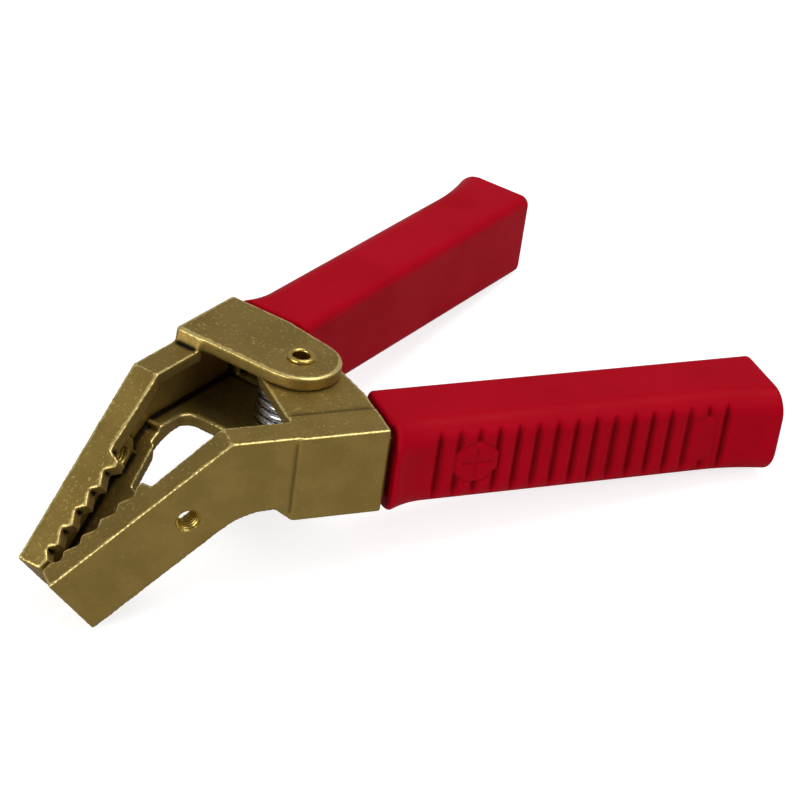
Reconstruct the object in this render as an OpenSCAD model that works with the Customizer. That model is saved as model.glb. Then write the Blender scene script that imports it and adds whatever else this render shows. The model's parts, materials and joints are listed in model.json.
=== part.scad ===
// Battery clamp of the alligator kind: two cast levers on one pivot, closed by a torsion spring.
// The origin is on the pivot axis, level with the top of the jaws. +Z runs up the pivot and
// +X runs towards the handles. Each lever is drawn in its own frame: u along the handle,
// v outwards from the pivot, z up. The left lever lies on -Y and the right lever on +Y.

/* [Jaws] */
// Length of a jaw along its top edge, from the bend to the tip
jaw_len = 47.3; // [40:0.1:58]
// Height of a jaw, measured square to its length
jaw_h = 15.3; // [13:0.1:16]
// Angle of the jaws below the handles
jaw_droop = 41; // [36:1:46]
// Angle at which the outer face of a jaw closes in towards the tip
jaw_taper = 2.6; // [0:0.1:4]
// Width of the jaw flanges beyond the teeth
flange_w = 6.6; // [5:0.1:8]
// Radius under the bend
bend_r = 15; // [8:1:18]

/* [Teeth] */
// Distance from one tooth to the next
tooth_pitch = 4.85; // [4:0.05:5.8]
// Depth of the teeth
tooth_depth = 1.8; // [1:0.1:2.4]
// Number of notches between the teeth
notches = 5; // [3:1:5]
// Angle between the tooth line and the middle of the clamp when the jaws are shut
tooth_gape = 8.7; // [6:0.1:11]
// Gap left between the tips when the jaws are shut
tip_gap = 0.3; // [0.3:0.1:1]

/* [Levers] */
// Angle between each handle and the middle of the clamp
spread = 17; // [14:0.5:20]
// Distance from the pivot to the outer face of a lever
reach = 26; // [24:0.5:30]
// Height of the lever channel
lever_h = 17; // [16:0.5:22]
// Wall of the casting
wall = 3; // [2.5:0.1:3.4]
// Distance from the pivot to the bend
bend_at = 23.6; // [21:0.1:28]
// Distance from the pivot to the front of the pivot block
block_front = 9; // [8.5:0.1:10]
// Distance from the pivot to the back of the pivot block
block_back = 10.8; // [10.5:0.1:13]
// How far the outer face of the block stands proud of the jaw
block_proud = 0.4; // [0.2:0.1:0.8]

/* [Pivot] */
// Radius of the round end of each ear
ear_r = 8.8; // [8.7:0.1:10]
// Height of the step that stacks one ear on the other
ear_step = 3; // [2.5:0.1:3.4]
// Gap between stacked ears
ear_gap = 0.3; // [0.3:0.05:0.5]
// Outer radius of the hollow rivet
rivet_r = 2.4; // [2.3:0.1:2.6]
// Bore radius of the hollow rivet
rivet_bore_r = 1.9; // [1.5:0.1:2]
// Radius of the rolled rivet rims
rim_r = 3.1; // [3:0.1:3.8]
// Thickness of the rolled rivet rims
rim_t = 0.8; // [0.6:0.1:1.2]
// Running clearance round the rivet and under its rims
rivet_fit = 0.06; // [0.03:0.01:0.1]

/* [Spring] */
// Wire diameter of the torsion spring
wire_d = 1.8; // [1.5:0.1:2]
// Outer radius of the spring coil
coil_r = 8.6; // [8:0.1:8.8]
// Clearance at the ends of the coil, round its bosses and at its legs
spring_fit = 0.2; // [0.1:0.05:0.4]

/* [Screw hole] */
// Radius of the tapped hole in each jaw, at the thread crests
screw_r = 2.1; // [1.7:0.05:2.5]
// Distance of the tapped hole from the bend, along the jaw
screw_at = 17.3; // [15:0.1:20]
// Distance of the tapped hole below the top of the jaw
screw_down = 8.2; // [7.4:0.1:8.2]
// Height of the boss behind the tapped hole
screw_boss_h = 1.4; // [0.6:0.1:2]

/* [Grips] */
// Distance from the pivot to the front of a grip
grip_front = 12.4; // [12.2:0.1:15]
// Distance from the pivot to the free end of a grip
grip_end = 104; // [85:1:125]
// Height of a grip
grip_h = 20.5; // [19:0.5:26]
// Distance from the pivot to the inner face of a grip
grip_in = 7.6; // [6:0.1:9]
// Wall of a grip
grip_wall = 2.6; // [2:0.1:3.2]
// How far the grips flare out at the front
flare_front = 2.8; // [1.5:0.1:4]
// How far the grips flare out at the free end
flare_end = 2.2; // [1:0.1:4]
// Radius of the cable hole in the free end
cable_r = 5; // [3:0.1:5.4]
// Number of grooves across the palm side
grooves = 16; // [8:1:18]
// Distance from one groove to the next
groove_pitch = 4.52; // [3.5:0.01:5]
// Depth of the grooves
groove_depth = 0.6; // [0.3:0.1:1]

/* [Hidden] */
$fn = 48;
brass = [0.53, 0.45, 0.24];
bright_brass = [0.78, 0.66, 0.3];
red = [0.6, 0.02, 0.08];
steel = [0.75, 0.76, 0.78];
far = 60;                                    // longer than any cut needs to be
bite = 0.5;                                  // how far joined shapes run into each other
bend_u = -bend_at;
flange_v = reach - flange_w;                 // inner edge of the jaw flanges
band_w = 8.5;
band_v = reach - band_w;                     // inner edge of the raised band on the block
ear_heel = 11;                               // where the back of an ear leaves the block
lower_ear_u = -block_front - 2.7;            // front edge of the right lower ear
floor_run = 9;                               // length of the floor ahead of that ear
floor_v = 4;                                 // where its rounded front corner lies
floor_far = -6;                              // and where it runs out under the ear
floor_r = [3, 6];                            // radii of its two inner corners
low_flange = [flange_v, 17.5];               // inner edge of the lower flange: bend, heel
low_heel_u = bend_u - 8;                     // where the teeth of the lower flange begin
under_run = 3.7;                             // length of the slope under the left block
top_run = 1;                                 // length of the slope on top of the right block
sink = 0.5;                                  // depth of the countersink of a tapped hole
sink_over = 0.2;                             // how far its cutter stands out of the face
screw_boss_wall = 2.4;
// A grip sits a little below the block that it follows.
grip_drop = 1;
grip_top = -grip_drop;
grip_r_out = 5.5;                            // palm edges
grip_r_in = 2.2;                             // inner edges
tang_t = 2.4;
tang_fit = 0.15;
tang_gap = 4;                                // from the end of a tang to the end of its grip
tang_end = grip_end - grip_wall - tang_gap;
grip_lip = 1.2;                              // rounding of the two end edges
front_run = 9;                               // length of each flare
end_run = 16;
groove_half = 1.1;
groove_low = 3;                              // from the bottom of a grip to its grooves
groove_high = 2;                             // and from its top
coil_mid_r = coil_r - wire_d / 2;
coil_gap = 0.05;                             // gap between one turn and the next
turn_steps = 22;
leg_u = 30;
boss_r = coil_r - wire_d - spring_fit;
boss_h = 2.6;
rim_round_in = 0.5;
rim_round_out = 0.35;

// ---- outlines -------------------------------------------------------------------------

function unit(a) = a / norm(a);

// The arc of radius r that rounds corner b between a and c, or b itself.
function corner(a, b, c, r, n = 6) =
  r == 0 ? [b] :
  let (d1 = unit(a - b), d2 = unit(c - b), half = acos(d1 * d2) / 2,
       middle = b + unit(d1 + d2) * r / sin(half),
       start = b + d1 * r / tan(half) - middle, stop = b + d2 * r / tan(half) - middle,
       from = atan2(start.y, start.x),
       turn = atan2(start.x * stop.y - start.y * stop.x, start * stop))
  [for (i = [0:n]) middle + r * [cos(from + turn * i / n), sin(from + turn * i / n)]];

// A closed outline with each corner rounded by its own radius.
function rounded(p, r) =
  let (n = len(p))
  [for (i = [0:n - 1]) each corner(p[(i + n - 1) % n], p[i], p[(i + 1) % n], r[i])];

// A point of the jaw in the u, z plane: s along the top edge, h square to it.
function jaw_point(s, h) =
  [bend_u - s * cos(jaw_droop) + h * sin(jaw_droop), -s * sin(jaw_droop) - h * cos(jaw_droop)];

// Where the level z meets the jaw line at depth h.
function bend_point(z, h) = jaw_point((-z - h * cos(jaw_droop)) / sin(jaw_droop), h);

// The side view of jaw and channel, moved in by inset, and by end_inset at the tip.
function side_view(inset, end_inset) =
  rounded([jaw_point(jaw_len - end_inset, inset), bend_point(-inset, inset),
           [block_back, -inset], [block_back, -lever_h + inset],
           bend_point(-lever_h + inset, jaw_h - inset),
           jaw_point(jaw_len - end_inset, jaw_h - inset)],
          [0, 0, 0, 0, bend_r, 0]);

// The teeth lie in planes that stay upright beside the middle of the clamp. Their outline is
// drawn along the middle plane: p from the bend towards the tip, w away from that plane.
tooth_droop = atan2(sin(jaw_droop), cos(jaw_droop) * cos(spread + jaw_taper));
bend_x = bend_u * cos(spread) - flange_v * sin(spread);
bend_w = bend_u * sin(spread) + flange_v * cos(spread);
tip_p = jaw_len - 1.6;
tip_land = 2.2;
land_w = 0.38 * tooth_pitch;
last_notch = tip_p - tip_land - land_w - (notches - 1) * tooth_pitch;
heel_land = 1.6;
heel_p = last_notch - land_w - heel_land;    // back of the last tooth
heel_slope = [0.6, 3.3];                     // its slope, along and away

function tooth_w(p) = tip_gap / 2 + (tip_p - p) * tan(tooth_gape);

function tooth_outline() = concat(
  [[tip_p + 20, tip_gap / 2], [tip_p - tip_land, tooth_w(tip_p - tip_land)]],
  [for (i = [0:notches - 1]) let (p = tip_p - tip_land - land_w - i * tooth_pitch)
    each [[p, tooth_w(p) + tooth_depth], [p - land_w, tooth_w(p - land_w)]]],
  [[heel_p, tooth_w(heel_p)], [heel_p - heel_slope.x, tooth_w(heel_p) + heel_slope.y],
   [0, bend_w],
   [-far, bend_w], [-far, -far], [tip_p + 20, -far]]);

// ---- lever ----------------------------------------------------------------------------

// Puts a lever drawn in u, v, z on its side of the clamp: -1 left, 1 right.
module on_side(side) {
  mirror([0, side < 0 ? 1 : 0, 0]) rotate([0, 0, spread]) children();
}

// Extrudes a u, z outline from v_from to v_to.
module across(v_from, v_to) {
  translate([0, v_to, 0]) rotate([90, 0, 0]) linear_extrude(v_to - v_from) children();
}

// Everything inside the outer face of the jaw, which closes in beyond the bend.
module jaw_side(inset) {
  taper = tan(jaw_taper);
  translate([0, 0, -far]) linear_extrude(2 * far)
    polygon([[block_back, -far], [block_back, reach - inset], [bend_u, reach - inset],
             [bend_u - 2 * far, reach - inset - 2 * far * taper], [bend_u - 2 * far, -far]]);
}

// The space on the far side of the teeth, drawn in the lever's own frame.
module tooth_space() {
  rotate([0, 0, -spread]) translate([bend_x, 0, 0]) rotate([0, -tooth_droop, 0])
    mirror([1, 0, 0]) translate([0, 0, -far]) linear_extrude(2 * far)
      polygon(tooth_outline());
}

// What the lower flange leaves open between the bend and its own teeth.
module low_window() {
  intersection() {
    translate([0, 0, -far]) linear_extrude(2 * far)
      polygon([[0, -far], [0, low_flange[0]], [bend_u + floor_run, low_flange[0]],
               [low_heel_u, low_flange[1]], [low_heel_u, -far]]);
    across(-far, far)
      polygon([jaw_point(-far, jaw_h / 2), jaw_point(-far, far), jaw_point(jaw_len, far),
               jaw_point(jaw_len, jaw_h / 2)]);
  }
}

// The jaw and the open channel behind it, as far as the front of the block.
module jaw_shell() {
  difference() {
    intersection() {
      across(0, far) polygon(side_view(0, 0));
      jaw_side(0);
    }
    intersection() {
      across(-1, far) polygon(side_view(wall, wall));
      jaw_side(wall);
    }
    intersection() {
      tooth_space();
      translate([-2 * far, -far, -far]) cube([2 * far + bend_u, 2 * far, 2 * far]);
    }
    translate([bend_u - 0.01, -far, -far]) cube([far, far + flange_v, 2 * far]);
    low_window();
    translate([-block_front, -far, -far]) cube([far, 2 * far, 2 * far]);
  }
}

// Plan of an ear with its front edge at front_u: its back edge runs straight from the block to
// a tangent of its round end.
module ear_plan(front_u) {
  heel = [block_back, ear_heel];
  touch = atan2(heel.y, heel.x) - acos(ear_r / norm(heel));
  intersection() {
    union() {
      circle(ear_r);
      polygon([[-far, 0], [0, 0], ear_r * [cos(touch), sin(touch)], heel, [block_back, reach],
               [-far, reach]]);
    }
    translate([front_u, -far]) square(2 * far);
  }
}

module ear(front_u, z_low, z_high) {
  translate([0, 0, z_low]) linear_extrude(z_high - z_low) ear_plan(front_u);
}

// The tang that the grip slides over, open towards the middle of the clamp.
module tang(z_top) {
  v_out = reach - grip_wall - tang_fit;
  v_in = grip_in + grip_wall + tang_fit;
  z_high = z_top - grip_wall - tang_fit;
  z_low = z_top - grip_h + grip_wall + tang_fit;
  difference() {
    translate([block_back - wall, v_in, z_low])
      cube([tang_end - block_back + wall, v_out - v_in, z_high - z_low]);
    translate([-far, -far, z_low + tang_t])
      cube([far + tang_end + 1, far + v_out - tang_t, z_high - z_low - 2 * tang_t]);
  }
}

// The collar at the back of the block that carries the tang.
module collar(z_low, z_high, z_top) {
  v_in = grip_in + grip_wall + tang_fit;
  difference() {
    translate([block_back - wall, v_in, z_low]) cube([wall, reach - v_in, z_high - z_low]);
    translate([0, -far, z_top - grip_h + grip_wall + tang_fit + tang_t])
      cube([far, far + reach - grip_wall - tang_fit - tang_t,
            grip_h - 2 * (grip_wall + tang_fit + tang_t)]);
  }
}

// The web of the block between two levels, a little proud of the jaw.
module block_web(z_low, z_high) {
  translate([-block_front, reach - wall, z_low])
    cube([block_front + block_back, wall + block_proud, z_high - z_low]);
}

// Turns a thing drawn on the outer face of the jaw into place, +Z outwards.
module at_screw() {
  s = screw_at * cos(jaw_droop) - screw_down * sin(jaw_droop);
  z = -screw_at * sin(jaw_droop) - screw_down * cos(jaw_droop);
  translate([bend_u, reach, 0]) rotate([0, 0, jaw_taper]) translate([-s, 0, z])
    rotate([-90, 0, 0]) children();
}

module screw_hole() {
  at_screw() {
    translate([0, 0, -far / 2]) cylinder(r = screw_r, h = far);
    translate([0, 0, -sink])
      cylinder(r1 = screw_r, r2 = screw_r + sink + sink_over, h = sink + sink_over);
  }
}

module screw_boss() {
  at_screw() translate([0, 0, -wall - screw_boss_h])
    cylinder(r = screw_r + screw_boss_wall, h = screw_boss_h + wall / 2);
}

// The round boss on an ear that keeps the spring on the pivot.
module spring_boss(z_from) {
  translate([0, 0, z_from]) cylinder(r = boss_r, h = boss_h);
}

module pivot_hole() {
  translate([0, 0, -far]) cylinder(r = rivet_r + rivet_fit, h = 2 * far);
}

// Left lever: its ears are the top one of the inner pair and the lowest of all.
module left_lever() {
  color(brass) on_side(-1) difference() {
    union() {
      jaw_shell();
      screw_boss();
      block_web(-lever_h - ear_step, 0);
      ear(-block_front, -ear_step, -ear_gap);
      ear(-block_front, -lever_h - ear_step, -lever_h - ear_gap);
      translate([-block_front, band_v, -ear_step])
        cube([block_front + block_back, reach - band_v, ear_step]);
      across(flange_v, reach)
        polygon([[-block_front - under_run, -lever_h], [-block_front, -lever_h - ear_step],
                 [-block_front + bite, -lever_h - ear_step],
                 [-block_front + bite, -lever_h + wall],
                 [-block_front - under_run, -lever_h + wall]]);
      collar(-lever_h - ear_step, -ear_gap, grip_top);
      tang(grip_top);
      spring_boss(-ear_step - boss_h);
    }
    pivot_hole();
    screw_hole();
  }
}

// Right lever: its ears are the top one of all and the lower one of the inner pair.
module right_lever() {
  color(brass) on_side(1) difference() {
    union() {
      jaw_shell();
      screw_boss();
      block_web(-lever_h, ear_step);
      ear(-block_front, 0, ear_step);
      ear(lower_ear_u, -lever_h, -lever_h + ear_step);
      across(flange_v, reach)
        polygon([[-block_front - top_run, 0], [-block_front, ear_step],
                 [-block_front + bite, ear_step], [-block_front + bite, -wall],
                 [-block_front - top_run, -wall]]);
      translate([0, 0, -lever_h]) linear_extrude(ear_step)
        polygon(rounded([[lower_ear_u - floor_run, reach - bite],
                         [lower_ear_u - floor_run, flange_v], [lower_ear_u, flange_v],
                         [lower_ear_u, floor_v], [-block_front + bite, floor_far],
                         [-block_front + bite, reach - bite]],
                        [0, 0, floor_r.x, floor_r.y, 0, 0]));
      collar(-lever_h, ear_step, grip_top + ear_step);
      tang(grip_top + ear_step);
      spring_boss(-lever_h + ear_step);
    }
    pivot_hole();
    screw_hole();
  }
}

// ---- grips ----------------------------------------------------------------------------

// Outer face of a grip: a shallow saddle that flares towards both ends.
function fade(t) = pow(max(0, 1 - t), 2);
function palm_v(u) =
  reach + flare_front * fade((u - grip_front) / front_run)
  + flare_end * fade((grip_end - u) / end_run);

// One cross-section of a grip at u, drawn in by inset all round.
function grip_ring(u, z_top, inset) =
  let (v0 = grip_in + inset, v1 = palm_v(u) - inset,
       z1 = z_top - inset, z0 = z_top - grip_h + inset)
  [for (q = rounded([[v0, z0], [v1, z0], [v1, z1], [v0, z1]],
                    [grip_r_in, grip_r_out, grip_r_out, grip_r_in])) [u, q.x, q.y]];

// A solid skinned over rings that all have the same number of points.
module skin(rings) {
  n = len(rings[0]);
  last = len(rings) - 1;
  polyhedron(
    points = [for (ring = rings) each ring],
    faces = concat(
      [[for (j = [0:n - 1]) j]],
      [for (i = [0:last - 1], j = [0:n - 1]) let (k = (j + 1) % n)
        [i * n + j, (i + 1) * n + j, (i + 1) * n + k, i * n + k]],
      [[for (j = [n - 1:-1:0]) last * n + j]]),
    convexity = 4);
}

module grip_body(z_top) {
  lip = [for (a = [0:30:90]) grip_lip * [1 - sin(a), 1 - cos(a)]];  // along and inwards
  last = len(lip) - 1;
  skin(concat(
    [for (k = [last:-1:0]) grip_ring(grip_front + lip[k].x, z_top, lip[k].y)],
    [for (t = [1.5:1.5:front_run]) grip_ring(grip_front + grip_lip + t, z_top, 0)],
    [for (t = [end_run - 2:-2:2]) grip_ring(grip_end - grip_lip - t, z_top, 0)],
    [for (k = [0:last]) grip_ring(grip_end - lip[k].x, z_top, lip[k].y)]));
}

module grip(z_top) {
  first_u = (grip_front + grip_end) / 2 - (grooves - 1) * groove_pitch / 2 - 1;
  mid_z = z_top - grip_h / 2;
  difference() {
    grip_body(z_top);
    translate([0, grip_in + grip_wall, z_top - grip_h + grip_wall])
      cube([grip_end - grip_wall, reach - grip_in - 2 * grip_wall, grip_h - 2 * grip_wall]);
    translate([0, (grip_in + reach) / 2, mid_z]) rotate([0, 90, 0])
      cylinder(r = cable_r, h = 2 * grip_end);
    for (i = [0:grooves - 1])
      translate([first_u + i * groove_pitch, 0, z_top - grip_h + groove_low])
        linear_extrude(grip_h - groove_low - groove_high)
          polygon([[-groove_half, far], [-groove_half, reach], [0, reach - groove_depth],
                   [groove_half, reach], [groove_half, far]]);
  }
}

module left_grip() {
  color(red) on_side(-1) grip(grip_top);
}

module right_grip() {
  color(red) on_side(1) grip(grip_top + ear_step);
}

// ---- pivot ----------------------------------------------------------------------------

// A hollow rivet whose two rims are rolled over the outermost ears.
module pivot_rivet() {
  z_low = -lever_h - ear_step - rivet_fit;
  z_high = ear_step + rivet_fit;
  color(bright_brass) rotate_extrude()
    polygon(rounded([[rivet_bore_r, z_low - rim_t], [rim_r, z_low - rim_t], [rim_r, z_low],
                     [rivet_r, z_low], [rivet_r, z_high], [rim_r, z_high],
                     [rim_r, z_high + rim_t], [rivet_bore_r, z_high + rim_t]],
                    [rim_round_in, rim_round_out, 0, 0, 0, 0, rim_round_out, rim_round_in]));
}

// The spring: a close coil between the inner ears, with a leg out along each handle. A leg
// leaves the coil on its tangent, steps into the channel of its tang and presses on the web.
module torsion_spring() {
  ring_n = 8;
  leg_v = reach - grip_wall - tang_fit - tang_t - wire_d / 2 - spring_fit;
  leg_a = atan2(leg_v, leg_u) + acos(coil_mid_r / norm([leg_u, leg_v]));
  z_high = -ear_step - spring_fit - wire_d / 2;
  z_low = -lever_h + ear_step + spring_fit + wire_d / 2;
  // The levels of the legs, just inside the flanges of the two tangs.
  flange = grip_wall + tang_fit + tang_t + spring_fit + wire_d / 2;
  leg_high = min(z_high, grip_top - flange);
  leg_low = max(z_low, grip_top + ear_step - grip_h + flange);
  a_low = spread + leg_a;                     // the low leg lies in the right lever
  whole = floor((z_high - z_low) / (wire_d + coil_gap));
  a_high = 360 * whole - spread - leg_a;      // the high leg lies in the left lever
  steps = turn_steps * whole;
  coil = [for (i = [0:steps]) let (a = a_low + (a_high - a_low) * i / steps)
    [coil_mid_r * cos(a), coil_mid_r * sin(a), z_low + (z_high - z_low) * i / steps]];
  low_leg = spring_leg(leg_a, leg_v, coil[0], leg_low, 1);
  high_leg = spring_leg(leg_a, leg_v, coil[steps], leg_high, -1);
  path = concat([for (k = [len(low_leg) - 1:-1:0]) low_leg[k]], coil, high_leg);
  n = len(path) - 1;
  color(steel) skin([for (i = [0:n])
    let (d = unit(path[min(i + 1, n)] - path[max(i - 1, 0)]),
         side = unit(cross(d, [0, 0, 1])), up = cross(side, d))
    [for (k = [0:ring_n - 1]) let (b = 360 * k / ring_n)
      path[i] + wire_d / 2 * (side * cos(b) + up * sin(b))]]);
}

// The points of a leg beyond its start on the coil: it stays level until it is clear of the
// turn beside it, then steps to the level z before it enters the collar.
function spring_leg(leg_a, leg_v, start, z, side) =
  let (tip = [leg_u * cos(spread) - leg_v * sin(spread),
              side * (leg_u * sin(spread) + leg_v * cos(spread))],
       from = [start.x, start.y], run = norm(tip - from), way = (tip - from) / run,
       from_u = coil_mid_r * cos(leg_a),
       clear = sqrt(pow(coil_r + wire_d / 2, 2) - pow(coil_mid_r, 2)),
       down = run * (block_back - wall - from_u) / (leg_u - from_u) - wire_d / 2 - clear)
  [for (q = [[0, 0], [0.25, 0.17], [0.5, 0.5], [0.75, 0.83], [1, 1], [(run - clear) / down, 1]])
    [each (from + way * (clear + down * q.x)), start.z + (z - start.z) * q.y]];

left_lever();
right_lever();
left_grip();
right_grip();
pivot_rivet();
torsion_spring();
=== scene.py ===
import json
import math

import bmesh
import bpy
import numpy as np
from mathutils import Matrix, Vector


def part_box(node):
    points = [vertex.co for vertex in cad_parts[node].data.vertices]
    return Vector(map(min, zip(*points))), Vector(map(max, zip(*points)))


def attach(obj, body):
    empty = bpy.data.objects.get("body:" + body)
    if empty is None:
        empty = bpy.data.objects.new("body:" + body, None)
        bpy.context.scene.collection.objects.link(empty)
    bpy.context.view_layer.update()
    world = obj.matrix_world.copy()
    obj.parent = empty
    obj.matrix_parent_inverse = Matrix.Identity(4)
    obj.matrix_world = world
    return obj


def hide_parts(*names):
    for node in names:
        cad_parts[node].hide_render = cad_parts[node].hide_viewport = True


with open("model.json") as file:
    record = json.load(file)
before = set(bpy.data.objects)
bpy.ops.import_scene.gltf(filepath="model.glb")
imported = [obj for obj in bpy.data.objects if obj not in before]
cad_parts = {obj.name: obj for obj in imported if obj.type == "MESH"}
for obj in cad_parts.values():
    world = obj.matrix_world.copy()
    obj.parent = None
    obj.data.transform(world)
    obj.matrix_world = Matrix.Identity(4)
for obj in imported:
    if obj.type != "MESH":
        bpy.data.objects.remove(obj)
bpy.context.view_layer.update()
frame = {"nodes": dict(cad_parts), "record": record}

mm = 0.001
weldGap = 1e-7                                                 # metres
scene = bpy.context.scene
mounts = {m["name"]: m for m in frame["record"]["mounts"]}

# Each lever has its own frame: u along the handle, v outwards from the pivot, z up.
handleAxis = Vector(mounts["right_cable_hole"]["axis"])
spread = math.atan2(handleAxis.y, handleAxis.x)
leftFrame = Matrix.Diagonal((1, -1, 1, 1)) @ Matrix.Rotation(spread, 4, "Z")
rightFrame = Matrix.Rotation(spread, 4, "Z")
sideFrame = {"left": leftFrame, "right": rightFrame}


def localBox(node, side):  # the box of a CAD node in its lever's frame, in mm
    back = sideFrame[side].inverted()
    points = np.array([(back @ v.co)[:] for v in frame["nodes"][node].data.vertices]) / mm
    return points.min(0), points.max(0)


def newObject(name, points, faces, smoothAngle=40):  # points in mm, in the shared frame
    mesh = bpy.data.meshes.new(name)
    mesh.from_pydata([[c * mm for c in p] for p in points], [], faces)
    mesh.validate()
    shape = bmesh.new()
    shape.from_mesh(mesh)
    bmesh.ops.remove_doubles(shape, verts=shape.verts, dist=weldGap)
    bmesh.ops.recalc_face_normals(shape, faces=shape.faces)
    shape.to_mesh(mesh)
    shape.free()
    mesh.shade_smooth()
    mesh.set_sharp_from_angle(angle=math.radians(smoothAngle))
    thing = bpy.data.objects.new(name, mesh)
    scene.collection.objects.link(thing)
    return thing


def circle(sides):  # points round a unit circle
    angles = [2 * math.pi * k / sides for k in range(sides)]
    return [(math.cos(a), math.sin(a)) for a in angles]


def ringSkin(rings, capFirst=True, capLast=True):  # quads over rings of equal length
    count = len(rings[0])
    points = [p for ring in rings for p in ring]
    faces = []
    for i in range(len(rings) - 1):
        for j in range(count):
            k = (j + 1) % count
            faces.append((i * count + j, i * count + k, (i + 1) * count + k, (i + 1) * count + j))
    if capFirst:
        faces.append(tuple(range(count))[::-1])
    if capLast:
        faces.append(tuple((len(rings) - 1) * count + j for j in range(count)))
    return points, faces


def newGroup(name, inputs, outputs):
    tree = bpy.data.node_groups.new(name, "ShaderNodeTree")
    for label, kind, value in inputs:
        socket = tree.interface.new_socket(name=label, in_out="INPUT", socket_type=kind)
        socket.default_value = value
    for label, kind in outputs:
        tree.interface.new_socket(name=label, in_out="OUTPUT", socket_type=kind)
    return tree, tree.nodes.new("NodeGroupInput"), tree.nodes.new("NodeGroupOutput")


def feed(tree, socket, value):  # a number, a colour or another node's output
    if isinstance(value, (int, float)):
        socket.default_value = value
    elif isinstance(value, tuple):
        socket.default_value = value + (1.0,)
    else:
        tree.links.new(value, socket)


def mathNode(tree, operation, first, second):
    node = tree.nodes.new("ShaderNodeMath")
    node.operation = operation
    for socket, value in zip(node.inputs, (first, second)):
        feed(tree, socket, value)
    return node.outputs[0]


def noiseNode(tree, coords, scale, detail, roughness):
    node = tree.nodes.new("ShaderNodeTexNoise")
    given = {"Vector": coords, "Scale": scale, "Detail": detail, "Roughness": roughness}
    for label, value in given.items():
        feed(tree, node.inputs[label], value)
    return node.outputs["Fac"]


def rangeNode(tree, value, low, high, toLow=0.0, toHigh=1.0):
    node = tree.nodes.new("ShaderNodeMapRange")
    node.interpolation_type = "SMOOTHSTEP"
    given = {"Value": value, "From Min": low, "From Max": high, "To Min": toLow, "To Max": toHigh}
    for label, level in given.items():
        feed(tree, node.inputs[label], level)
    return node.outputs["Result"]


speckleShape = dict(grainDetail=4.0, cloudDetail=5.0, roughness=0.6, sparkleRun=0.07)
wearAndHighlightShape = dict(detail=3.0, roughness=0.6, middle=0.5, highest=0.6)


def buildSpeckle():  # fine grain with scattered bright points, and broad cloudy patches
    tree, given, made = newGroup(
        "speckle",
        [("Grain", "NodeSocketFloat", 2500.0), ("Cloud", "NodeSocketFloat", 90.0),
         ("Sparkle Level", "NodeSocketFloat", 0.68)],
        [(label, "NodeSocketFloat") for label in ("Grain", "Cloud", "Sparkle")])
    coords = tree.nodes.new("ShaderNodeTexCoord").outputs["Object"]
    rough = speckleShape["roughness"]
    grain = noiseNode(tree, coords, given.outputs["Grain"], speckleShape["grainDetail"], rough)
    cloud = noiseNode(tree, coords, given.outputs["Cloud"], speckleShape["cloudDetail"], rough)
    level = given.outputs["Sparkle Level"]
    full = mathNode(tree, "ADD", level, speckleShape["sparkleRun"])
    sparkle = rangeNode(tree, grain, level, full)
    tree.links.new(grain, made.inputs["Grain"])
    tree.links.new(cloud, made.inputs["Cloud"])
    tree.links.new(sparkle, made.inputs["Sparkle"])
    return tree


def buildEdgeWearAndHighlight():  # rubbed upper edges, partly real wear and partly a painted highlight where they face up into the light, broken up by noise, and painted shade in the hollows, from the mesh's own masks
    tree, given, made = newGroup(
        "edgeWearAndHighlight",
        [("Start", "NodeSocketFloat", 0.3), ("Softness", "NodeSocketFloat", 0.35),
         ("Break Up", "NodeSocketFloat", 0.5), ("Grain", "NodeSocketFloat", 900.0),
         ("Lowest", "NodeSocketFloat", 0.1)],
        [(label, "NodeSocketFloat") for label in ("Wear And Highlight", "Hollow Shade", "Upwards")])
    coords = tree.nodes.new("ShaderNodeTexCoord").outputs["Object"]
    grain = given.outputs["Grain"]
    noise = noiseNode(tree, coords, grain, wearAndHighlightShape["detail"], wearAndHighlightShape["roughness"])
    centered = mathNode(tree, "SUBTRACT", noise, wearAndHighlightShape["middle"])
    shift = mathNode(tree, "MULTIPLY", centered, given.outputs["Break Up"])
    masks = {}
    for label in ("edgeMask", "hollowShadeMask"):
        node = tree.nodes.new("ShaderNodeAttribute")
        node.attribute_name = label
        masks[label] = node.outputs["Fac"]
    start = given.outputs["Start"]
    stop = mathNode(tree, "ADD", start, given.outputs["Softness"])
    wearAndHighlight = rangeNode(tree, mathNode(tree, "ADD", masks["edgeMask"], shift), start, stop)
    facing = tree.nodes.new("ShaderNodeSeparateXYZ")
    tree.links.new(tree.nodes.new("ShaderNodeTexCoord").outputs["Normal"], facing.inputs[0])
    upwards = rangeNode(tree, facing.outputs["Z"], given.outputs["Lowest"], wearAndHighlightShape["highest"])
    # only edges that face upwards get the bright colour: a painted highlight where light from above
    # would catch them, on top of real rubbing
    tree.links.new(mathNode(tree, "MULTIPLY", wearAndHighlight, upwards), made.inputs["Wear And Highlight"])
    tree.links.new(upwards, made.inputs["Upwards"])
    # the hollow mask is passed on for painted shade in creases and recesses
    tree.links.new(masks["hollowShadeMask"], made.inputs["Hollow Shade"])
    return tree


speckleGroup = buildSpeckle()
edgeWearAndHighlightGroup = buildEdgeWearAndHighlight()


def newMaterial(name):
    material = bpy.data.materials.new(name)
    material.use_nodes = True
    tree = material.node_tree
    return material, tree, tree.nodes["Principled BSDF"]


def placeGroup(tree, group, values):
    node = tree.nodes.new("ShaderNodeGroup")
    node.node_tree = group
    for label, value in values.items():
        node.inputs[label].default_value = value
    return node.outputs


def mixColor(tree, factor, first, second):
    node = tree.nodes.new("ShaderNodeMix")
    node.data_type = "RGBA"
    slots = (node.inputs[0], node.inputs[6], node.inputs[7])   # factor and the two colours
    for socket, value in zip(slots, (factor, first, second)):
        feed(tree, socket, value)
    return node.outputs[2]


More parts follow.
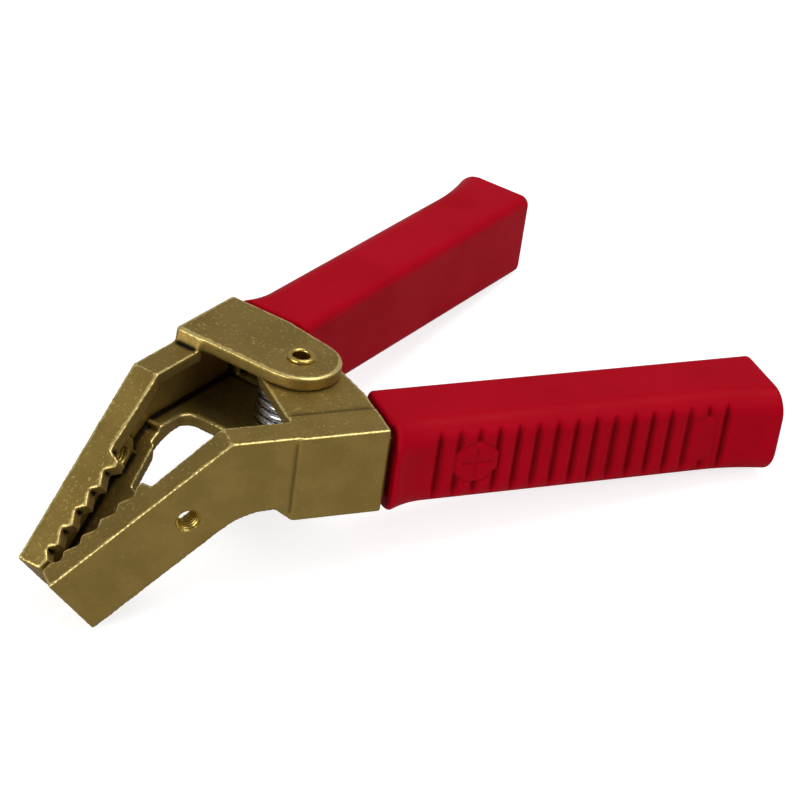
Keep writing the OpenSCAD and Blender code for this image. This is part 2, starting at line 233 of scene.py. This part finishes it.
def bumpNode(tree, height, distance, strength=1.0, under=None):
    node = tree.nodes.new("ShaderNodeBump")
    node.inputs["Distance"].default_value = distance
    node.inputs["Strength"].default_value = strength
    tree.links.new(height, node.inputs["Height"])
    if under is not None:
        tree.links.new(under, node.inputs["Normal"])
    return node.outputs["Normal"]


# cast brass colours: worn is partly real wear and partly a painted highlight on up-facing edges,
# glint is a painted highlight, hollow is painted shade
castTonesAndLight = dict(
    face=(0.375, 0.256, 0.066), cloud=(0.315, 0.215, 0.053), glint=(0.85, 0.68, 0.24),
    wearAndHighlight=(0.90, 0.70, 0.26), hollow=(0.012, 0.008, 0.002), metallic=0.85,
    roughness=(0.5, 0.3), patches=(0.35, 0.65), glintAmount=(0.12, 0.6),
    grainBump=(0.00012, 0.6), cloudBump=(0.0008, 0.35),       # depth in metres, strength
    speckle={"Grain": 1500.0, "Cloud": 110.0, "Sparkle Level": 0.6},
    wearAndLight={"Start": 0.58, "Softness": 0.3, "Break Up": 1.7, "Grain": 900.0, "Lowest": 0.25})


def castBrass():
    material, tree, shader = newMaterial("castBrass")
    speckle = placeGroup(tree, speckleGroup, castTonesAndLight["speckle"])
    wearAndLight = placeGroup(tree, edgeWearAndHighlightGroup, castTonesAndLight["wearAndLight"])
    patches = rangeNode(tree, speckle["Cloud"], *castTonesAndLight["patches"])
    color = mixColor(tree, patches, castTonesAndLight["face"], castTonesAndLight["cloud"])
    # painted glints: bright specks, stronger on faces turned upwards where light from above falls
    amount = rangeNode(tree, wearAndLight["Upwards"], 0, 1, *castTonesAndLight["glintAmount"])
    glint = mathNode(tree, "MULTIPLY", speckle["Sparkle"], amount)
    color = mixColor(tree, glint, color, castTonesAndLight["glint"])
    # bright gold on upper edges: partly real rubbed wear, partly a painted highlight
    color = mixColor(tree, wearAndLight["Wear And Highlight"], color, castTonesAndLight["wearAndHighlight"])
    # painted shade: near-black in the hollows and creases
    color = mixColor(tree, wearAndLight["Hollow Shade"], color, castTonesAndLight["hollow"])
    tree.links.new(color, shader.inputs["Base Color"])
    rough = rangeNode(tree, wearAndLight["Wear And Highlight"], 0, 1, *castTonesAndLight["roughness"])
    tree.links.new(rough, shader.inputs["Roughness"])
    shader.inputs["Metallic"].default_value = castTonesAndLight["metallic"]
    grainBump = bumpNode(tree, speckle["Grain"], *castTonesAndLight["grainBump"])
    castBump = bumpNode(tree, speckle["Cloud"], *castTonesAndLight["cloudBump"], grainBump)
    tree.links.new(castBump, shader.inputs["Normal"])
    return material


# rivet colours: worn is partly real wear and partly a painted highlight on up-facing edges, hollow
# is painted shade
rivetTonesAndLight = dict(
    face=(0.72, 0.52, 0.14), wearAndHighlight=(0.95, 0.76, 0.30), hollow=(0.06, 0.035, 0.008),
    roughness=(0.2, 0.37), patches=(0.3, 0.7), bump=(0.00008, 0.6),
    speckle={"Grain": 3500.0, "Cloud": 400.0, "Sparkle Level": 0.7},
    wearAndLight={"Start": 0.25, "Softness": 0.5, "Break Up": 0.4, "Grain": 1500.0})


def rivetBrass():
    material, tree, shader = newMaterial("rivetBrass")
    speckle = placeGroup(tree, speckleGroup, rivetTonesAndLight["speckle"])
    wearAndLight = placeGroup(tree, edgeWearAndHighlightGroup, rivetTonesAndLight["wearAndLight"])
    # bright rim edges: partly real wear, partly a painted highlight on up-facing edges
    color = mixColor(tree, wearAndLight["Wear And Highlight"], rivetTonesAndLight["face"], rivetTonesAndLight["wearAndHighlight"])
    # painted shade in the hollows
    color = mixColor(tree, wearAndLight["Hollow Shade"], color, rivetTonesAndLight["hollow"])
    tree.links.new(color, shader.inputs["Base Color"])
    rough = rangeNode(tree, speckle["Cloud"], *rivetTonesAndLight["patches"], *rivetTonesAndLight["roughness"])
    tree.links.new(rough, shader.inputs["Roughness"])
    shader.inputs["Metallic"].default_value = 1.0
    bump = bumpNode(tree, speckle["Cloud"], *rivetTonesAndLight["bump"])
    tree.links.new(bump, shader.inputs["Normal"])
    return material


springFinish = dict(
    face=(0.62, 0.63, 0.66), dull=(0.36, 0.37, 0.40), patches=(0.4, 0.7),
    roughness=(0.14, 0.32), grain=(0.3, 0.7), bump=(0.00002, 0.5),
    speckle={"Grain": 2600.0, "Cloud": 260.0, "Sparkle Level": 0.7})


def springSteel():
    material, tree, shader = newMaterial("springSteel")
    speckle = placeGroup(tree, speckleGroup, springFinish["speckle"])
    patches = rangeNode(tree, speckle["Cloud"], *springFinish["patches"])
    color = mixColor(tree, patches, springFinish["face"], springFinish["dull"])
    tree.links.new(color, shader.inputs["Base Color"])
    rough = rangeNode(tree, speckle["Grain"], *springFinish["grain"], *springFinish["roughness"])
    tree.links.new(rough, shader.inputs["Roughness"])
    shader.inputs["Metallic"].default_value = 1.0
    bump = bumpNode(tree, speckle["Grain"], *springFinish["bump"])
    tree.links.new(bump, shader.inputs["Normal"])
    return material


# groove is painted shade in the grooves
gripTonesAndShade = dict(
    face=(0.500, 0.0006, 0.0120), cloud=(0.425, 0.0004, 0.0095), groove=(0.20, 0.0002, 0.0040),
    patches=(0.35, 0.75), roughness=(0.36, 0.52), dull=(0.3, 0.7), specular=0.045,
    bump=(0.00002, 0.35), speckle={"Grain": 1800.0, "Cloud": 30.0, "Sparkle Level": 0.7})


def gripPvc():
    material, tree, shader = newMaterial("gripPvc")
    speckle = placeGroup(tree, speckleGroup, gripTonesAndShade["speckle"])
    wearAndLight = placeGroup(tree, edgeWearAndHighlightGroup, {})
    patches = rangeNode(tree, speckle["Cloud"], *gripTonesAndShade["patches"])
    color = mixColor(tree, patches, gripTonesAndShade["face"], gripTonesAndShade["cloud"])
    # painted shade: darker towards the foot of each groove
    color = mixColor(tree, wearAndLight["Hollow Shade"], color, gripTonesAndShade["groove"])
    tree.links.new(color, shader.inputs["Base Color"])
    rough = rangeNode(tree, speckle["Cloud"], *gripTonesAndShade["dull"], *gripTonesAndShade["roughness"])
    tree.links.new(rough, shader.inputs["Roughness"])
    shader.inputs["Specular IOR Level"].default_value = gripTonesAndShade["specular"]
    bump = bumpNode(tree, speckle["Grain"], *gripTonesAndShade["bump"])
    tree.links.new(bump, shader.inputs["Normal"])
    return material


brassMaterial = castBrass()
rivetMaterial = rivetBrass()
springMaterial = springSteel()
gripMaterial = gripPvc()
print("materials made")


casting = dict(
    weldGap=1e-6, voxel=0.34, rounding=3, threadSeat=2.35, seatHalf=3.0,
    masks=(14, 0.10, 0.10))                                    # passes, edge depth, hollow depth


def smoothed(points, edges, passes, weight=0.5):  # moves each point towards its neighbours
    count = len(points)
    ends = np.concatenate([edges[:, 0], edges[:, 1]])
    others = np.concatenate([edges[:, 1], edges[:, 0]])
    degree = np.maximum(np.bincount(ends, minlength=count), 1)
    for _ in range(passes):
        mean = np.stack([np.bincount(ends, points[others, k], count) / degree for k in range(3)], 1)
        points = points + weight * (mean - points)
    return points


def meshArrays(mesh):
    points = np.zeros(len(mesh.vertices) * 3)
    mesh.vertices.foreach_get("co", points)
    edges = np.zeros(len(mesh.edges) * 2, dtype=np.int64)
    mesh.edges.foreach_get("vertices", edges)
    return points.reshape(-1, 3), edges.reshape(-1, 2)


def addMasks(mesh, passes, edgeDepth, hollowDepth):  # how far each point stands out or lies in
    points, edges = meshArrays(mesh)
    normals = np.zeros(len(mesh.vertices) * 3)
    mesh.vertices.foreach_get("normal", normals)
    away = ((points - smoothed(points, edges, passes)) * normals.reshape(-1, 3)).sum(1) / mm
    # the hollow mask drives painted shade in the materials
    for label, value in (("edgeMask", away / edgeDepth), ("hollowShadeMask", -away / hollowDepth)):
        layer = mesh.attributes.new(label, "FLOAT", "POINT")
        layer.data.foreach_set("value", np.clip(value, 0, 1).astype(np.float32))


def applied(thing):  # the object with its modifiers made real
    bpy.context.view_layer.update()
    depsgraph = bpy.context.evaluated_depsgraph_get()
    mesh = bpy.data.meshes.new_from_object(thing.evaluated_get(depsgraph))
    old = thing.data
    thing.modifiers.clear()
    thing.data = mesh
    bpy.data.meshes.remove(old)
    return thing


def alongAxis(mount):  # a matrix, in mm, whose +Z runs out of a mount
    place = Matrix.Translation(Vector(mount["pos_m"]) / mm)
    return place @ Vector((0, 0, 1)).rotation_difference(Vector(mount["axis"])).to_matrix().to_4x4()


def cylinderCutter(matrix, radius, low, high, sides=64):
    rings = [[(matrix @ Vector((radius * x, radius * y, z)))[:] for x, y in circle(sides)]
             for z in (low, high)]
    return newObject("cutter", *ringSkin(rings))


def castLever(side):
    source = frame["nodes"][side + "_lever"]
    lever = bpy.data.objects.new(side + "_casting", source.data.copy())
    scene.collection.objects.link(lever)
    lever.data.materials.clear()
    shape = bmesh.new()
    shape.from_mesh(lever.data)
    bmesh.ops.remove_doubles(shape, verts=shape.verts, dist=casting["weldGap"])
    shape.to_mesh(lever.data)
    shape.free()
    cutter = cylinderCutter(alongAxis(mounts[side + "_screw_hole"]), casting["threadSeat"],
                            -casting["seatHalf"], casting["seatHalf"])
    cut = lever.modifiers.new("threadSeat", "BOOLEAN")
    cut.operation = "DIFFERENCE"
    cut.object = cutter
    cut.solver = "EXACT"
    applied(lever)
    bpy.data.objects.remove(cutter)
    lever.data.transform(Matrix.Scale(1 / mm, 4))
    remesh = lever.modifiers.new("cast", "REMESH")
    remesh.mode = "VOXEL"
    remesh.voxel_size = casting["voxel"]
    applied(lever)
    mesh = lever.data
    mesh.transform(Matrix.Scale(mm, 4))
    points, edges = meshArrays(mesh)
    points = smoothed(points, edges, casting["rounding"])
    mesh.vertices.foreach_set("co", points.ravel())
    mesh.update()
    mesh.shade_smooth()
    for attribute in [a.name for a in mesh.attributes if a.name.startswith("sharp")]:
        mesh.attributes.remove(mesh.attributes[attribute])
    addMasks(mesh, *casting["masks"])
    mesh.materials.append(brassMaterial)
    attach(lever, side + "_side")
    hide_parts(side + "_lever")
    print(side, "lever", len(mesh.polygons), "faces")


thread = dict(
    pitch=0.8, crest=2.1, root=2.42, outer=2.52, skin=0.02, sink=0.5,
    low=-1.9, high=2.45, sides=48, steps=10, masks=(3, 0.12, 0.12))   # low to high: wall and boss


def screwThread(side):  # the tapped wall of the jaw's screw hole
    place = alongAxis(mounts[side + "_screw_hole"])
    low, high, pitch, outer = (thread[k] for k in ("low", "high", "pitch", "outer"))
    around = circle(thread["sides"])
    rows = int(round((high - low) / pitch * thread["steps"]))
    rings = []
    for row in range(rows + 1):
        z = low + (high - low) * row / rows
        ring = []
        for k, (x, y) in enumerate(around):
            phase = (z / pitch - k / len(around)) % 1
            depth = (thread["root"] - thread["crest"]) * (1 - abs(2 * phase - 1))
            flare = max(0, z - high + thread["sink"])
            radius = min(thread["crest"] + depth + flare, outer - thread["skin"])
            ring.append((place @ Vector((radius * x, radius * y, z)))[:])
        rings.append(ring)
    for z in (high, low):                                      # back down the outside
        rings.append([(place @ Vector((outer * x, outer * y, z)))[:] for x, y in around])
    skin = ringSkin(rings + [rings[0]], False, False)
    piece = newObject(side + "_thread", *skin, smoothAngle=60)
    addMasks(piece.data, *thread["masks"])
    piece.data.materials.append(rivetMaterial)
    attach(piece, side + "_side")


for side in ("left", "right"):
    castLever(side)
    screwThread(side)
print("levers made")


sleeve = dict(
    edgeOuter=5.5, edgeInner=2.2, flareFront=2.8, flareFrontRun=9.0, flareEnd=2.2, flareEndRun=16.0,
    wall=2.6, lip=1.2, lipStep=15, endGap=0.05, step=0.4, cornerSteps=16, fills=(12, 30, 12, 20),
    cavityEdges=(0.8, 2.4), carvedFrom=3.0)                    # carvedFrom: depth of the palm side
grip = dict(
    grooves=16, pitch=4.52, depth=1.15, half=1.35, shift=1.0, runOut=2.2, runOutSlope=4 / 3,
    panelDepth=0.25, panelFront=(3.0, 2.0), panelEnd=(9.0, 3.0),    # place and length of its ramps
    shadeFrom=0.1, middleLift=0.2)
pads = dict(
    crossAt=19.6, crossHalf=4.7, crossRim=0.2, blankFrom=18.1, blankHalf=(2.7, 5.2), blankRim=0.3,
    corner=1.45, border=(0.38, 0.5), bar=(0.32, 0.2, 0.35), barInset=1.2, blankBorder=(0.32, 0.45))


def fade(t):
    return max(0.0, 1.0 - t) ** 2


def roundRect(v0, v1, z0, z1, rIn, rOut, counts):  # anticlockwise from the lower inner corner
    steps = sleeve["cornerSteps"]
    corners = [((v0 + rIn, z0 + rIn), rIn, 180), ((v1 - rOut, z0 + rOut), rOut, 270),
               ((v1 - rOut, z1 - rOut), rOut, 0), ((v0 + rIn, z1 - rIn), rIn, 90)]
    ring = []
    for (cv, cz), radius, start in corners:
        ring.append([(cv + radius * math.cos(math.radians(start + 90 * k / steps)),
                      cz + radius * math.sin(math.radians(start + 90 * k / steps)))
                     for k in range(steps + 1)])
    points = []
    for k in range(4):
        points += ring[k]
        a, b = ring[k][-1], ring[(k + 1) % 4][0]
        points += [(a[0] + (b[0] - a[0]) * t / counts[k], a[1] + (b[1] - a[1]) * t / counts[k])
                   for t in range(1, counts[k])]
    return points


def padEdge(du, dz):  # how far out a point lies on the eight-sided pad
    return max(abs(du), abs(dz), (abs(du) + abs(dz)) / pads["corner"])


def padDepth(du, dz):  # a plain cross on an eight-sided pad, and its border
    edge = padEdge(du, dz)
    depth, half = pads["border"]
    border = depth * max(0.0, 1 - abs(edge - pads["crossHalf"]) / half)
    if edge >= pads["crossHalf"] - pads["barInset"]:
        return border
    depth, flat, slope = pads["bar"]
    return max(border, depth * max(0.0, 1 - max(0.0, min(abs(du), abs(dz)) - flat) / slope))


def blankDepth(du, dz):  # the border of the blank label pad
    edge = max(abs(du) - pads["blankHalf"][0], abs(dz) - pads["blankHalf"][1])
    depth, half = pads["blankBorder"]
    return depth * max(0.0, 1 - abs(edge) / half)


def gripSleeve(side):
    low, high = localBox(side + "_grip", side)
    front, end, inner = low[0], high[0] - sleeve["endGap"], low[1]
    bottom, top = low[2], high[2]
    middle, halfHeight = (bottom + top) / 2, (top - bottom) / 2
    reach = high[1] - sleeve["flareFront"]
    carvedFrom = reach - sleeve["carvedFrom"]
    lip, outer = sleeve["lip"], sleeve["edgeOuter"]
    firstGroove = (front + end) / 2 - (grip["grooves"] - 1) * grip["pitch"] / 2 - grip["shift"]
    crossU, blankU = front + pads["crossAt"], end - pads["blankFrom"]
    padZ = middle + grip["middleLift"]

    def palm(u):
        return (reach + sleeve["flareFront"] * fade((u - front) / sleeve["flareFrontRun"])
                + sleeve["flareEnd"] * fade((end - u) / sleeve["flareEndRun"]))

    def grooveDepth(u):
        index = round((u - firstGroove) / grip["pitch"])
        if not 0 <= index < grip["grooves"]:
            return 0.0
        off = abs(u - firstGroove - index * grip["pitch"]) / grip["half"]
        return grip["depth"] * max(0.0, 1 - off)

    def panelDepth(u):
        start, startRun = grip["panelFront"]
        stop, stopRun = grip["panelEnd"]
        rising = min(1.0, max(0.0, (u - firstGroove + start) / startRun))
        return grip["panelDepth"] * min(rising, max(0.0, (end - stop - u) / stopRun))

    def sunken(u, v, z):  # 0 on the palm side's face, 1 at the foot of a groove
        if v < carvedFrom:
            return 0.0
        corner = min(outer, max(0.0, abs(z - middle) - halfHeight + outer))
        drop = outer - math.sqrt(outer ** 2 - corner ** 2)
        depth = palm(u) - drop - v - grip["panelDepth"] - grip["shadeFrom"]
        return min(1.0, max(0.0, depth / grip["depth"]))

    def surface(u, v, z):  # the palm side with its hollow panel, grooves and pads
        level = palm(u) - panelDepth(u)
        crossDu, blankDu, dz = u - crossU, u - blankU, z - padZ
        halfU, halfZ = (half + pads["blankRim"] for half in pads["blankHalf"])
        if padEdge(crossDu, dz) < pads["crossHalf"] + pads["crossRim"]:
            level -= padDepth(crossDu, dz)
        elif abs(blankDu) < halfU and abs(dz) < halfZ:
            level -= blankDepth(blankDu, dz)
        else:
            level -= grooveDepth(u)
        below = max(0.0, bottom + grip["runOut"] - z)          # grooves run out at the lower edge
        return min(v, level + grip["runOutSlope"] * below)

    turns = [math.radians(a) for a in range(0, 91, sleeve["lipStep"])]
    lipRows = [(lip * (1 - math.sin(a)), lip * (1 - math.cos(a))) for a in turns]
    count = int((end - front - 2 * lip) / sleeve["step"])
    body = [front + lip + (end - front - 2 * lip) * k / count for k in range(1, count)]
    rows = sorted([(front + away, inset) for away, inset in lipRows] + [(u, 0.0) for u in body]
                  + [(end - away, inset) for away, inset in lipRows])
    rings = []
    for u, inset in rows:
        flat = roundRect(inner + inset, palm(u) - inset, bottom + inset, top - inset,
                         sleeve["edgeInner"], outer, sleeve["fills"])
        rings.append([(u, surface(u, v, z) if v > carvedFrom else v, z) for v, z in flat])
    wall = sleeve["wall"]
    cavity = roundRect(inner + wall, reach - wall, bottom + wall, top - wall,
                       *sleeve["cavityEdges"], sleeve["fills"])
    hollow = [[(u, v, z) for v, z in cavity] for u in (end - wall, front)]
    hole = mounts[side + "_cable_hole"]
    back = sideFrame[side].inverted()
    center, radius = back @ (Vector(hole["pos_m"]) / mm), hole["dims"]["r_mm"]
    angles = [math.atan2(z - middle, v - (inner + reach) / 2) for u, v, z in rings[-1]]
    bore = [[(u, center.y + radius * math.cos(a), center.z + radius * math.sin(a)) for a in angles]
            for u in (end, end - wall)]
    loop = rings + bore + hollow + [rings[0]]
    placed = [[(sideFrame[side] @ Vector(p))[:] for p in ring] for ring in loop]
    piece = newObject(side + "_sleeve", *ringSkin(placed, False, False), smoothAngle=50)
    # mask for the painted shade in the grooves
    depth = [sunken(*(back @ (v.co / mm))) for v in piece.data.vertices]
    piece.data.attributes.new("hollowShadeMask", "FLOAT", "POINT").data.foreach_set("value", depth)
    piece.data.materials.append(gripMaterial)
    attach(piece, side + "_side")
    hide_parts(side + "_grip")


for side in ("left", "right"):
    gripSleeve(side)
print("grips made")


rivet = dict(sides=72, shank=2.4, rimHeight=0.8, rimFoot=0.25, rimStep=12, rimPower=0.8,
             masks=(4, 0.10, 0.2))


def lathe(name, profile, sides):  # turns a closed r, z outline round the pivot
    rings = [[(r * x, r * y, z) for r, z in profile] for x, y in circle(sides)]
    return newObject(name, *ringSkin(rings + [rings[0]], False, False), smoothAngle=50)


def pivotRivet():
    low, high = (c.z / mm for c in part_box("pivot_rivet"))
    bore = mounts["rivet_bore"]["dims"]["r_mm"]
    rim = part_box("pivot_rivet")[1].x / mm
    shank, lift = rivet["shank"], rivet["rimHeight"]
    half = (rim - bore) / 2

    def rolled(z, sign):  # the bulged rim, from its outer edge in to the bore
        foot, points = rivet["rimFoot"], []
        for a in range(0, 180, rivet["rimStep"]):
            bulge = foot + (1 - foot) * math.sin(math.radians(a)) ** rivet["rimPower"]
            r = bore + half + half * math.cos(math.radians(a))
            points.append((r, z + sign * lift * (bulge - 1)))
        return points

    topRim = rolled(high, 1)
    lowRim = rolled(low, -1)
    profile = ([(shank, low + lift), (shank, high - lift), (rim, high - lift)] + topRim
               + [(bore, high - lift), (bore, low + lift)] + lowRim[::-1] + [(rim, low + lift)])
    piece = lathe("rivet", profile, rivet["sides"])
    addMasks(piece.data, *rivet["masks"])
    piece.data.materials.append(rivetMaterial)
    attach(piece, "left_side")
    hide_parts("pivot_rivet")


pivotRivet()


spring = dict(
    wire=1.8, sides=14, stepAngle=7.5, turns=5, tipReach=1.5,
    stepFrom=5.6, stepRun=4.6, legSteps=32,                    # where a leg steps into its channel
    overlap=40.0, overlapSteps=8, hidden=0.03)                 # the right leg's arc inside the coil


def tube(name, path, sizes, sides):  # a round wire with one radius for each point
    path = [Vector(p) for p in path]
    last = len(path) - 1
    rings = []
    for i, p in enumerate(path):
        along = (path[min(i + 1, last)] - path[max(i - 1, 0)]).normalized()
        across = along.cross(Vector((0, 0, 1))).normalized()
        up = across.cross(along)
        rings.append([(p + sizes[i] * (across * x + up * y))[:] for x, y in circle(sides)])
    return newObject(name, *ringSkin(rings), smoothAngle=60)


def torsionSpring():
    low, high = (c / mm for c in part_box("torsion_spring"))
    wire = spring["wire"]
    zLow, zHigh = low.z + wire / 2, high.z - wire / 2
    points = np.array([v.co[:] for v in frame["nodes"]["torsion_spring"].data.vertices]) / mm
    rightEnd = points[points[:, 1] > high.y - spring["tipReach"]].mean(0)
    leftEnd = points[points[:, 1] < low.y + spring["tipReach"]].mean(0)
    legEnd = Vector(rightEnd[:2])
    radius = -low.x - wire / 2
    tangent = math.acos(radius / legEnd.length)
    meet = math.degrees(math.atan2(legEnd.y, legEnd.x) + tangent)
    start, stop = meet, 360 * spring["turns"] - meet
    steps = int((stop - start) / spring["stepAngle"])

    def coilPoint(angle):
        a = math.radians(angle)
        z = zLow + (zHigh - zLow) * (angle - start) / (stop - start)
        return radius * math.cos(a), radius * math.sin(a), z

    coil = [coilPoint(start + (stop - start) * i / steps) for i in range(steps + 1)]

    def leg(startPoint, endPoint):  # level, then a step into the channel of the lever
        path = []
        begin, way = Vector(startPoint), Vector(endPoint) - Vector(startPoint)
        for step in range(1, spring["legSteps"] + 1):
            part = step / spring["legSteps"]
            reached = part * way.to_2d().length
            down = min(1.0, max(0.0, (reached - spring["stepFrom"]) / spring["stepRun"]))
            down = down * down * (3 - 2 * down)
            path.append((begin.x + way.x * part, begin.y + way.y * part, begin.z + way.z * down))
        return path

    leftLeg = leg(coil[-1], leftEnd)
    whole = coil + leftLeg
    body = tube("spring_coil", whole, [wire / 2] * len(whole), spring["sides"])
    rightLeg = leg(coil[0], rightEnd)[::-1]
    arcSteps = spring["overlapSteps"]
    arc = [coilPoint(start + spring["overlap"] * i / arcSteps) for i in range(arcSteps + 1)]
    sizes = [wire / 2] * len(rightLeg) + [wire / 2 - spring["hidden"]] * len(arc)
    legPiece = tube("spring_leg", rightLeg + arc, sizes, spring["sides"])
    for piece, rides in ((body, "left_side"), (legPiece, "right_side")):
        piece.data.materials.append(springMaterial)
        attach(piece, rides)
    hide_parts("torsion_spring")


torsionSpring()
print("pivot made")


view = dict(azimuth=-42.68, elevation=30.57, roll=8.31, distance=590.4, aimX=21.16, aimY=-6.38,
            lens=126.0, sensor=36.0, nearest=0.01, farthest=50.0)


def placeCamera():
    az, el, roll = (math.radians(view[k]) for k in ("azimuth", "elevation", "roll"))
    back = Vector((math.sin(az) * math.cos(el), -math.cos(az) * math.cos(el), math.sin(el)))
    right0 = Vector((math.cos(az), math.sin(az), 0))
    up0 = back.cross(right0)
    right = right0 * math.cos(roll) + up0 * math.sin(roll)
    up = up0 * math.cos(roll) - right0 * math.sin(roll)
    data = bpy.data.cameras.new("camera")
    data.lens = view["lens"]
    data.sensor_width = view["sensor"]
    data.clip_start, data.clip_end = view["nearest"], view["farthest"]
    camera = bpy.data.objects.new("camera", data)
    place = (back * view["distance"] + right * view["aimX"] + up * view["aimY"]) * mm
    turn = Matrix((right, up, back)).transposed().to_4x4()
    camera.matrix_world = Matrix.Translation(place) @ turn
    scene.collection.objects.link(camera)
    scene.camera = camera
    return right, back


cameraRight, cameraBack = placeCamera()


def support(node, direction):  # the point of a CAD node that lies farthest that way
    points = [v.co.copy() for v in frame["nodes"][node].data.vertices]
    return max(points, key=lambda p: p.dot(direction))


floorLook = dict(half=3.0, under=0.0002, down=(0.14, 0, -0.99), grey=0.6, roughness=0.8,
                 specular=0.2, glow=0.75)                      # half and under in metres


def floorPlane():  # the clamp rests on its jaw tips and on the free ends of its grips
    down = Vector(floorLook["down"]).normalized()
    tips = (support("left_lever", down) + support("right_lever", down)) / 2
    left, right = support("left_grip", down), support("right_grip", down)
    normal = (left - tips).cross(right - tips).normalized()
    return tips, normal if normal.z > 0 else -normal


floorPoint, floorNormal = floorPlane()


def layFloor():
    half = floorLook["half"]
    mesh = bpy.data.meshes.new("floor")
    corners = [(-half, -half, 0), (half, -half, 0), (half, half, 0), (-half, half, 0)]
    mesh.from_pydata(corners, [], [(0, 1, 2, 3)])
    floor = bpy.data.objects.new("floor", mesh)
    turn = Vector((0, 0, 1)).rotation_difference(floorNormal).to_matrix().to_4x4()
    floor.matrix_world = Matrix.Translation(floorPoint - floorNormal * floorLook["under"]) @ turn
    scene.collection.objects.link(floor)
    material, tree, shader = newMaterial("paleFloor")
    shader.inputs["Base Color"].default_value = [floorLook["grey"]] * 3 + [1]
    shader.inputs["Roughness"].default_value = floorLook["roughness"]
    shader.inputs["Specular IOR Level"].default_value = floorLook["specular"]
    seen = tree.nodes.new("ShaderNodeLightPath").outputs["Is Camera Ray"]
    glow = mixColor(tree, seen, (0.0, 0.0, 0.0), (1.0, 1.0, 1.0))
    tree.links.new(glow, shader.inputs["Emission Color"])
    shader.inputs["Emission Strength"].default_value = floorLook["glow"]
    mesh.materials.append(material)


layFloor()


def softbox(name, mix, distance, size, power):
    data = bpy.data.lights.new(name, "AREA")
    data.shape = "SQUARE"
    data.size = size
    data.energy = power
    lamp = bpy.data.objects.new(name, data)
    way = (mix[0] * floorNormal + mix[1] * cameraRight + mix[2] * cameraBack).normalized()
    turn = way.to_track_quat("Z", "Y").to_matrix().to_4x4()
    lamp.matrix_world = Matrix.Translation(way * distance) @ turn
    scene.collection.objects.link(lamp)


# Each direction is a mix of the floor's normal, the camera's right and the way to the camera.
softboxes = [
    dict(name="topBox", mix=(1, 0.35, -0.2), distance=0.9, size=0.6, power=3.4),
    dict(name="frontBox", mix=(-0.1, -0.9, 1), distance=0.9, size=0.6, power=3.6),
    dict(name="rightBox", mix=(0.3, 1.2, 1), distance=1.0, size=0.4, power=1.2)]
for box in softboxes:
    softbox(**box)


backdrop = dict(lit=(0.30, 0.30, 0.30), seen=(1.0, 1.0, 1.0))


def studioWorld():  # dim towards the clamp, white behind it
    world = bpy.data.worlds.new("studio")
    scene.world = world
    world.use_nodes = True
    tree = world.node_tree
    sky = tree.nodes["Background"]
    seen = tree.nodes.new("ShaderNodeLightPath").outputs["Is Camera Ray"]
    tree.links.new(mixColor(tree, seen, backdrop["lit"], backdrop["seen"]), sky.inputs["Color"])
    sky.inputs["Strength"].default_value = 1.0


studioWorld()
scene.view_settings.view_transform = "Standard"
